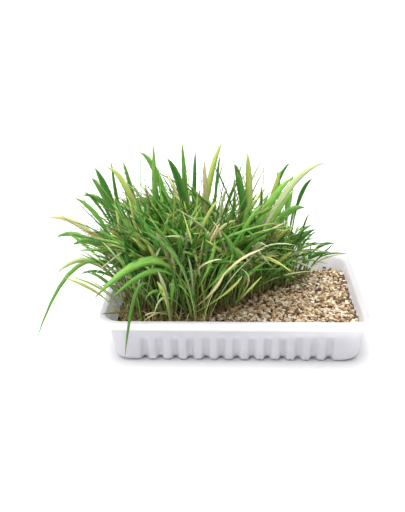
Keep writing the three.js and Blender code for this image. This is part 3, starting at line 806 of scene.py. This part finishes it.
def addLeaf(parts, blade, look, random):
    shares = np.linspace(0, 1, leaf['steps'])
    centres, sides, backs = leafPath(blade, shares)
    twist = blade.get('twist', random.normal(0, leaf['twist'])) * (shares - 0.5)
    length = np.linalg.norm(np.diff(centres, axis=0), axis=1).sum()
    halves = blade['width'] / 2 * leaf['slimmer'] * leafWidth(shares, length, blade['width'])
    cos, sin = np.cos(twist)[:, None], np.sin(twist)[:, None]
    side = sides * cos + backs * sin
    back = backs * cos - sides * sin
    fold = leaf['fold'] * (1.4 - shares)
    half = halves[:, None]
    sheet = leaf['sheet'] * (0.5 + 0.5 * half / max(half.max(), 1e-6))
    low = fold[:, None] * half
    across = [
        centres - side * half,
        centres - side * half * 0.5 + back * low * 0.6,
        centres + back * low,
        centres + side * half * 0.5 + back * low * 0.6,
        centres + side * half,
        centres + back * (low + sheet),
    ]
    first = len(parts['points'])
    # no leaf goes past the solids' box
    rows = np.clip(np.stack(across, axis=1), np.array(frameLow) / mm, np.array(frameHigh) / mm)
    parts['points'] += list(rows.reshape(-1, 3) * mm)
    per = len(across)
    for k in range(leaf['steps'] - 1):
        for i in range(per):
            j = (i + 1) % per
            a, b = first + k * per + i, first + k * per + j
            parts['faces'].append((a, b, b + per, a + per))
    parts['faces'].append(tuple(first + i for i in reversed(range(per))))
    top = first + (leaf['steps'] - 1) * per
    parts['faces'].append(tuple(top + i for i in range(per)))
    foot, middle, tip = (np.array(srgb(code)) for code in leafLooks[look])
    mood = random.normal(*leaf['mood'])
    tipBrown = random.random() < leaf['brownTips']
    pale = leaf['pale']
    for share in shares:
        if share < pale:
            colour = lerp(foot, middle, share / pale) * mood
        else:
            colour = lerp(middle, tip, (share - pale) / (1 - pale)) * mood
        if tipBrown and share > leaf['brownFrom']:
            colour = np.array(srgb(leaf['brown']))
        colour[3] = 1
        parts['colours'] += [np.clip(colour, 0, 1)] * per
        parts['uvs'] += [(u * blade['width'], share * length) for u in (0, 0.25, 0.5, 0.75, 1, 0.5)]


fill = {
    # how many of each kind stand between the modelled leaves
    'leaves': 740, 'stems': 680, 'threads': 110, 'shorts': 170, 'loose': 190,
    # all stand behind this depth y, leaves placed singly are drawn wider, and all keep this clear
    'front': -35, 'bolder': 1.3, 'boxGap': 0.8, 'lowest': 24, 'rootSpread': 13, 'bedMargin': 5,
    'kinked': 0.3, 'shortsFrom': 18, 'stemsTo': 25, 'looseFront': -16, 'inward': 0.85,
    # thin leaves seen singly at the edge: where it leaves the crowd and its tip, read as pixels
    # of the photo, the depth y of both in mm, its width and look
    'wisps': [
        ((98, 195), (84, 192), 15, 15, 2, 'dark'), ((111, 216), (98, 195), 12, 12, 2, 'dark'),
        ((87, 241), (67, 233), 0, 0, 2.4, 'green'), ((106, 257), (80, 275), -35, -35, 2, 'dark'),
        ((112, 276), (101, 287), -50, -50, 1.6, 'dry'), ((116, 311), (101, 315), -60, -60, 1.4, 'dry'),
        ((161, 277), (154, 320), -60, -62, 2.2, 'pale'), ((155, 308), (144, 316), -62, -64, 1.4, 'straw'),
        ((159, 306), (143, 322), -60, -71, 1.2, 'straw'), ((171, 306), (181, 322), -60, -70, 1.2, 'dry'),
        ((177, 265), (154, 230), -45, -45, 4, 'straw'), ((153, 249), (110, 245), -45, -45, 2.4, 'straw'),
        ((300, 224), (310, 213), 40, 40, 1.4, 'dark'), ((290, 215), (296, 204), 35, 35, 1.8, 'green'),
        ((290, 229), (313, 225), 38, 38, 2.2, 'green'), ((296, 245), (317, 230), 40, 40, 1.6, 'dark'),
        ((319, 255), (335, 243), 48, 48, 1.2, 'dark'), ((300, 257), (331, 252), 45, 45, 2, 'green'),
        ((315, 255), (343, 254), 45, 45, 1.6, 'pale'), ((313, 248), (349, 254), 52, 50, 1.2, 'dark'),
        ((309, 257), (311, 245), 42, 42, 1.6, 'dark'), ((262, 205), (261, 184), 20, 20, 1.6, 'dark'),
        ((215, 205), (227, 188), 5, 5, 2, 'pale'), ((224, 186), (243, 177), 18, 18, 1.8, 'green'),
        ((216, 178), (220, 155), 15, 15, 2, 'dark'), ((212, 280), (215, 238), -48, -50, 3, 'bright'),
        ((211, 259), (185, 273), -52, -54, 3, 'bright'), ((220, 271), (239, 265), -48, -50, 3.4, 'bright'),
        ((274, 276), (248, 248), -10, -14, 2.6, 'bright'), ((274, 276), (294, 257), -8, -12, 2.6, 'green'),
        ((259, 254), (274, 255), 0, -4, 2.4, 'pale'), ((146, 236), (133, 311), -58, -66, 2, 'pale'),
    ],
    # leaves that cross the stand's front face: where it starts and its tip in pixels, width and look
    'crossing': [
        ((176, 265), (170, 246), 3, 'straw'), ((213, 262), (205, 230), 5, 'green'),
        ((198, 288), (187, 253), 2, 'pale'), ((207, 252), (190, 248), 1.6, 'straw'),
        ((213, 299), (225, 272), 2.2, 'straw'), ((230, 296), (243, 275), 1.8, 'yellowGreen'),
        ((150, 242), (111, 203), 4.4, 'green'), ((152, 240), (125, 200), 4, 'dark'),
        ((163, 232), (137, 223), 4.4, 'bright'), ((191, 236), (168, 229), 4, 'bright'),
        ((176, 239), (191, 229), 3, 'pale'), ((176, 223), (202, 203), 1.4, 'bright'),
        ((200, 213), (220, 199), 2.4, 'yellowGreen'), ((203, 227), (236, 220), 2.4, 'straw'),
        ((205, 233), (222, 217), 1.6, 'straw'), ((226, 233), (213, 222), 1.8, 'straw'),
        ((200, 243), (209, 231), 1.8, 'straw'), ((210, 238), (220, 223), 1.6, 'straw'),
        ((236, 222), (264, 204), 2.6, 'bright'), ((240, 216), (253, 196), 2.6, 'bright'),
        ((248, 258), (221, 231), 4.4, 'green'), ((250, 260), (231, 246), 4, 'bright'),
        ((252, 236), (265, 244), 3.6, 'pale'), ((153, 254), (129, 253), 2, 'yellowGreen'),
        ((131, 272), (125, 254), 4, 'dark'), ((150, 261), (161, 247), 2.4, 'pale'),
        ((121, 257), (100, 240), 1.2, 'pale'), ((170, 270), (169, 288), 2, 'pale'),
        ((157, 276), (145, 300), 2.4, 'bright'), ((161, 276), (157, 301), 2.4, 'bright'),
        ((167, 262), (192, 300), 2.4, 'green'), ((183, 300), (169, 262), 2, 'dark'),
        ((240, 300), (262, 276), 1.6, 'yellowGreen'), ((262, 278), (240, 268), 1.8, 'pale'),
    ],
    # leaves that cross further in: start and tip in pixels, depth y in mm, width and look
    'inner': [
        ((256, 202), (293, 177), 8, 5, 'bright'), ((262, 218), (295, 189), 4, 5, 'bright'),
        ((240, 228), (289, 197), 0, 2.6, 'pale'), ((266, 276), (313, 271), 10, 1.4, 'pale'),
        ((255, 240), (258, 214), 0, 4.4, 'green'), ((276, 262), (292, 252), -2, 3, 'yellowGreen'),
        ((270, 200), (281, 168), 10, 3.4, 'yellowGreen'), ((250, 205), (237, 172), 5, 4.6, 'dark'),
        ((232, 222), (235, 187), 0, 1.8, 'dark'), ((283, 262), (287, 240), 20, 1.6, 'green'),
        ((296, 262), (302, 240), 30, 1.6, 'green'), ((268, 262), (262, 240), 10, 2, 'green'),
    ],
    'tipNearer': 3, 'overRim': 36,
}


# The stand's front face: upright at this depth up to the bend, leaning back above it
crowdFace = {'depth': -60, 'bend': 62, 'lean': 0.85}


def photoRay(pixel):
    # from the camera through a pixel of the photo, in mm
    across, upward, forward = viewAxes()
    right, down = pixel[0] - view['middle'][0], pixel[1] - view['middle'][1]
    ray = forward + (across * right - upward * down) / view['focalPixels']
    return np.array(view['place']) / mm, np.array(ray)


def seenAt(pixel, depth):
    # the point at this depth y that the photo shows at a pixel
    eye, ray = photoRay(pixel)
    return eye + ray * (depth - eye[1]) / ray[1]


def crowdDepth(pixel):
    # the depth y of the stand's front face at a pixel
    front = seenAt(pixel, crowdFace['depth'])
    if front[2] <= crowdFace['bend']:
        return crowdFace['depth']
    eye, ray = photoRay(pixel)
    lean = crowdFace['lean']
    foot = crowdFace['depth'] - lean * crowdFace['bend']
    return eye[1] + ray[1] * (foot + lean * eye[2] - eye[1]) / (ray[1] - lean * ray[2])


def singleLeaves():
    # the leaves placed one by one, as start, tip, width and look; each passes over the rim
    nearer = fill['tipNearer']
    rows = list(fill['wisps'])
    for start, tip, width, look in fill['crossing']:
        rows.append((start, tip, crowdDepth(start), crowdDepth(tip) - nearer, width, look))
    for start, tip, depth, width, look in fill['inner']:
        rows.append((start, tip, depth, depth - nearer, width, look))
    for start, tip, startDepth, tipDepth, width, look in rows:
        ends = [seenAt(start, startDepth), seenAt(tip, tipDepth)]
        for end in ends:
            end[2] = max(end[2], fill['overRim'])
        yield tuple(ends[0]), tuple(ends[1]), width, look


def inFrame(path, half):
    # inside the solids' box and clear of the tray
    low = np.array(frameLow) / mm + fill['boxGap']
    high = np.array(frameHigh) / mm - fill['boxGap']
    if np.any(path[:, :2] - half < low[:2]) or np.any(path + half > high):
        return False
    if path[1:, 2].min() < fill['lowest']:
        return False
    return clearOfTray(path, np.full(len(path), half))


def sownPlace(random):
    # a spot near a plug of the stand, as plug, x and y
    centres = plugCentres()
    while True:
        plug = int(random.integers(len(centres)))
        angle = random.uniform(0, 2 * math.pi)
        away = fill['rootSpread'] * math.sqrt(random.random())
        x, y = centres[plug][0] + away * math.cos(angle), centres[plug][1] + away * math.sin(angle)
        if onBed(x, y, fill['bedMargin']) and y > fill['front'] and isSown(x + 2, y):
            return plug, x, y


def leanedBlade(random, x, y, length, scatter, outward):
    heading = random.uniform(0, 2 * math.pi)
    push = outward * np.array([min((x + 22) / 62, 0.5), (y - 6) / 140])
    push += scatter * random.uniform(0.2, 1) * np.array([math.cos(heading), math.sin(heading)])
    strength = np.linalg.norm(push)
    lean = min(0.06 + 0.52 * strength + random.uniform(0, 0.3) * scatter, 1.25)
    across = push / strength * length * math.sin(lean)
    across[1] = max(across[1], stand['tipY'][0] - y)
    foot = stand['bladeRoot']
    return {
        'root': (x, y), 'tip': (x + across[0], y + across[1], foot + length * math.cos(lean)),
        'bow': random.uniform(0.0, 0.16), 'crown': foot + min(random.uniform(32, 62), 0.7 * length),
        'face': heading + math.pi + random.normal(0, 0.9),
    }


def makeFill():
    random = np.random.default_rng(21)
    shares = np.linspace(0, 1, leaf['steps'])
    blades = []
    for kind in ('leaves', 'stems', 'threads', 'shorts'):
        made = 0
        while made < fill[kind]:
            plug, x, y = sownPlace(random)
            height = standHeight(x, y)
            if kind == 'leaves':
                blade = leanedBlade(random, x, y, height * random.uniform(0.55, 1.15), 1.4, 1)
                blade['width'] = random.uniform(1.8, 4.7)
                if random.random() < fill['kinked']:
                    place, angle = random.uniform(0.5, 0.8), random.uniform(-1.6, 1.6)
                    blade['kink'] = (place, angle, random.uniform(0, 3))
            elif kind == 'stems':
                tall = min(height, crownHeight(x, y) - stand['bladeRoot'], random.uniform(26, 72))
                blade = leanedBlade(random, x, y, tall, 0.6, 0.7)
                blade['width'] = random.uniform(0.8, 1.4)
                looks = ['stem', 'straw', 'dry', 'brown', 'dark']
                blade['look'] = random.choice(looks, p=[0.36, 0.24, 0.18, 0.12, 0.1])
            elif kind == 'shorts':
                # the low tuft along the back, at the bare end
                tall = min(crownHeight(x, y) - stand['bladeRoot'], random.uniform(20, 46))
                blade = leanedBlade(random, x, y, tall, 1.1, 0.9)
                blade['width'] = random.uniform(1.0, 2.2)
                blade['look'] = random.choice(['green', 'dark', 'stem', 'pale'], p=[0.4, 0.25, 0.25, 0.1])
            else:
                blade = leanedBlade(random, x, y, height * random.uniform(0.9, 1.15), 0.9, 1)
                blade['width'] = random.uniform(0.9, 1.6)
                blade['look'] = random.choice(['dark', 'dry', 'yellowGreen'], p=[0.5, 0.2, 0.3])
            blade['plug'] = plug
            path = leafPath(blade, shares)[0]
            # the upper part of a leaf doesn't hang over the foot of the stand's front
            low = path[-5:, 2].min() < stand['skirt'] and path[-1, 1] < stand['skirtFront']
            slim = kind in ('stems', 'threads')
            allowed = inCrown(blade) or (slim and blade['tip'][0] < fill['stemsTo'])
            if kind == 'shorts':
                allowed = x > fill['shortsFrom'] and blade['tip'][2] < crownHeight(x, y)
            if allowed and not (low and kind == 'leaves') and inFrame(path, blade['width'] / 2):
                blades.append(blade)
                made += 1
    made = 0
    while made < fill['loose']:
        # dry straws and roots that lie in low arcs over the foot
        plug, x, y = sownPlace(random)
        heading, span = random.uniform(0, 2 * math.pi), random.uniform(8, 24)
        toX, toY = x + span * math.cos(heading), y + span * math.sin(heading)
        if y < fill['looseFront'] and onBed(toX, toY, fill['bedMargin']) and isSown(toX - 6, toY):
            rise = random.uniform(2, 16)
            blades.append({
                'root': (x, y), 'tip': (toX, toY, random.uniform(21.5, 26)), 'plug': plug,
                'bend': (lerp(x, toX, 0.4), lerp(y, toY, 0.4), 22 + 1.6 * rise),
                'width': random.uniform(0.8, 1.5),
                'look': random.choice(['dry', 'straw', 'brown', 'pale'], p=[0.3, 0.25, 0.3, 0.15]),
            })
            made += 1
    centres = plugCentres()
    behind = [plug for plug in range(len(centres)) if centres[plug][1] > fill['front']]
    for start, tip, width, look in singleLeaves():
        # it grows from the nearest plug behind the foot's edge and shows beyond its start
        aimX, aimY = start[0] * fill['inward'], start[1] * fill['inward']
        near = min(behind, key=lambda plug: math.hypot(centres[plug][0] - aimX, centres[plug][1] - aimY))
        angle, away = random.uniform(0, 2 * math.pi), random.uniform(1, 8)
        root = (centres[near][0] + away * math.cos(angle), centres[near][1] + away * math.sin(angle))
        blades.append({
            'root': root, 'bend': start, 'tip': tip, 'plug': near,
            'width': width * fill['bolder'], 'look': look,
        })
    return blades


def pickLook(random):
    names = ['green', 'dark', 'bright', 'yellowGreen', 'pale', 'straw', 'dry']
    return random.choice(names, p=[0.32, 0.2, 0.16, 0.17, 0.07, 0.05, 0.03])


freshLeaf = makeLeaf()
random = np.random.default_rng(5)
modelled = growStand()
print("blades like the solids:", len(modelled))
extras = makeFill()
for plug in range(len(plugCentres())):
    parts = {'points': [], 'faces': [], 'colours': [], 'uvs': []}
    for blade in [b for b in modelled + extras if b['plug'] == plug]:
        addLeaf(parts, blade, blade.get('look') or pickLook(random), random)
    piece = meshPiece('wheatgrass_%02d' % (plug + 1), parts['points'], parts['faces'], freshLeaf)
    paintPoints(piece, 'leafTint', parts['colours'])
    layer = piece.data.uv_layers.new(name='leafLength')
    corners = np.empty(len(piece.data.loops), dtype=np.int32)
    piece.data.loops.foreach_get('vertex_index', corners)
    layer.data.foreach_set('uv', np.array(parts['uvs'], dtype=np.float32)[corners].ravel())
    for polygon in piece.data.polygons:
        polygon.use_smooth = True
    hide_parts('grass_clump_%02d' % (plug + 1))
print("grass made")


# Floor, light and camera

def makeStudio():
    bpy.ops.mesh.primitive_plane_add(size=8, location=(0, 0, 0))
    floor = bpy.context.object
    floor.name = 'studio_floor'
    material, tree, shader = newMaterial('White paper', {'Base Color': srgb('E8E8E8'), 'Roughness': 0.9})
    floor.data.materials.append(material)
    world = bpy.data.worlds.new('studio')
    bpy.context.scene.world = world
    world.use_nodes = True
    world.node_tree.nodes['Background'].inputs['Color'].default_value = srgb('FFFFFF')
    world.node_tree.nodes['Background'].inputs['Strength'].default_value = 0.5
    for name, place, aim, size, power in (
        ('key', (-0.5, -0.5, 1.1), (-0.02, 0, 0.05), 1.4, 13),
        ('top', (0.1, 0.1, 1.4), (-0.02, 0, 0.05), 1.8, 24),
        ('far', (0, 2.2, 1.8), (0, 2.0, 0), 2.4, 70),
    ):
        light = bpy.data.lights.new(name, 'AREA')
        light.size = size
        light.energy = power
        lamp = bpy.data.objects.new(name, light)
        bpy.context.collection.objects.link(lamp)
        lamp.location = place
        lamp.rotation_euler = (Vector(aim) - Vector(place)).to_track_quat('-Z', 'Y').to_euler()


def placeCamera():
    lens = bpy.data.cameras.new('camera')
    lens.lens = view['focalPixels'] * view['filmWidth'] / view['photoWidth']
    lens.sensor_width = view['filmWidth']
    camera = bpy.data.objects.new('camera', lens)
    bpy.context.collection.objects.link(camera)
    across, upward, forward = viewAxes()
    turn = Matrix((across, upward, -forward)).transposed()
    camera.matrix_world = Matrix.Translation(view['place']) @ turn.to_4x4()
    bpy.context.scene.camera = camera
    bpy.context.scene.view_settings.view_transform = 'Standard'


makeStudio()
placeCamera()
print("studio made")
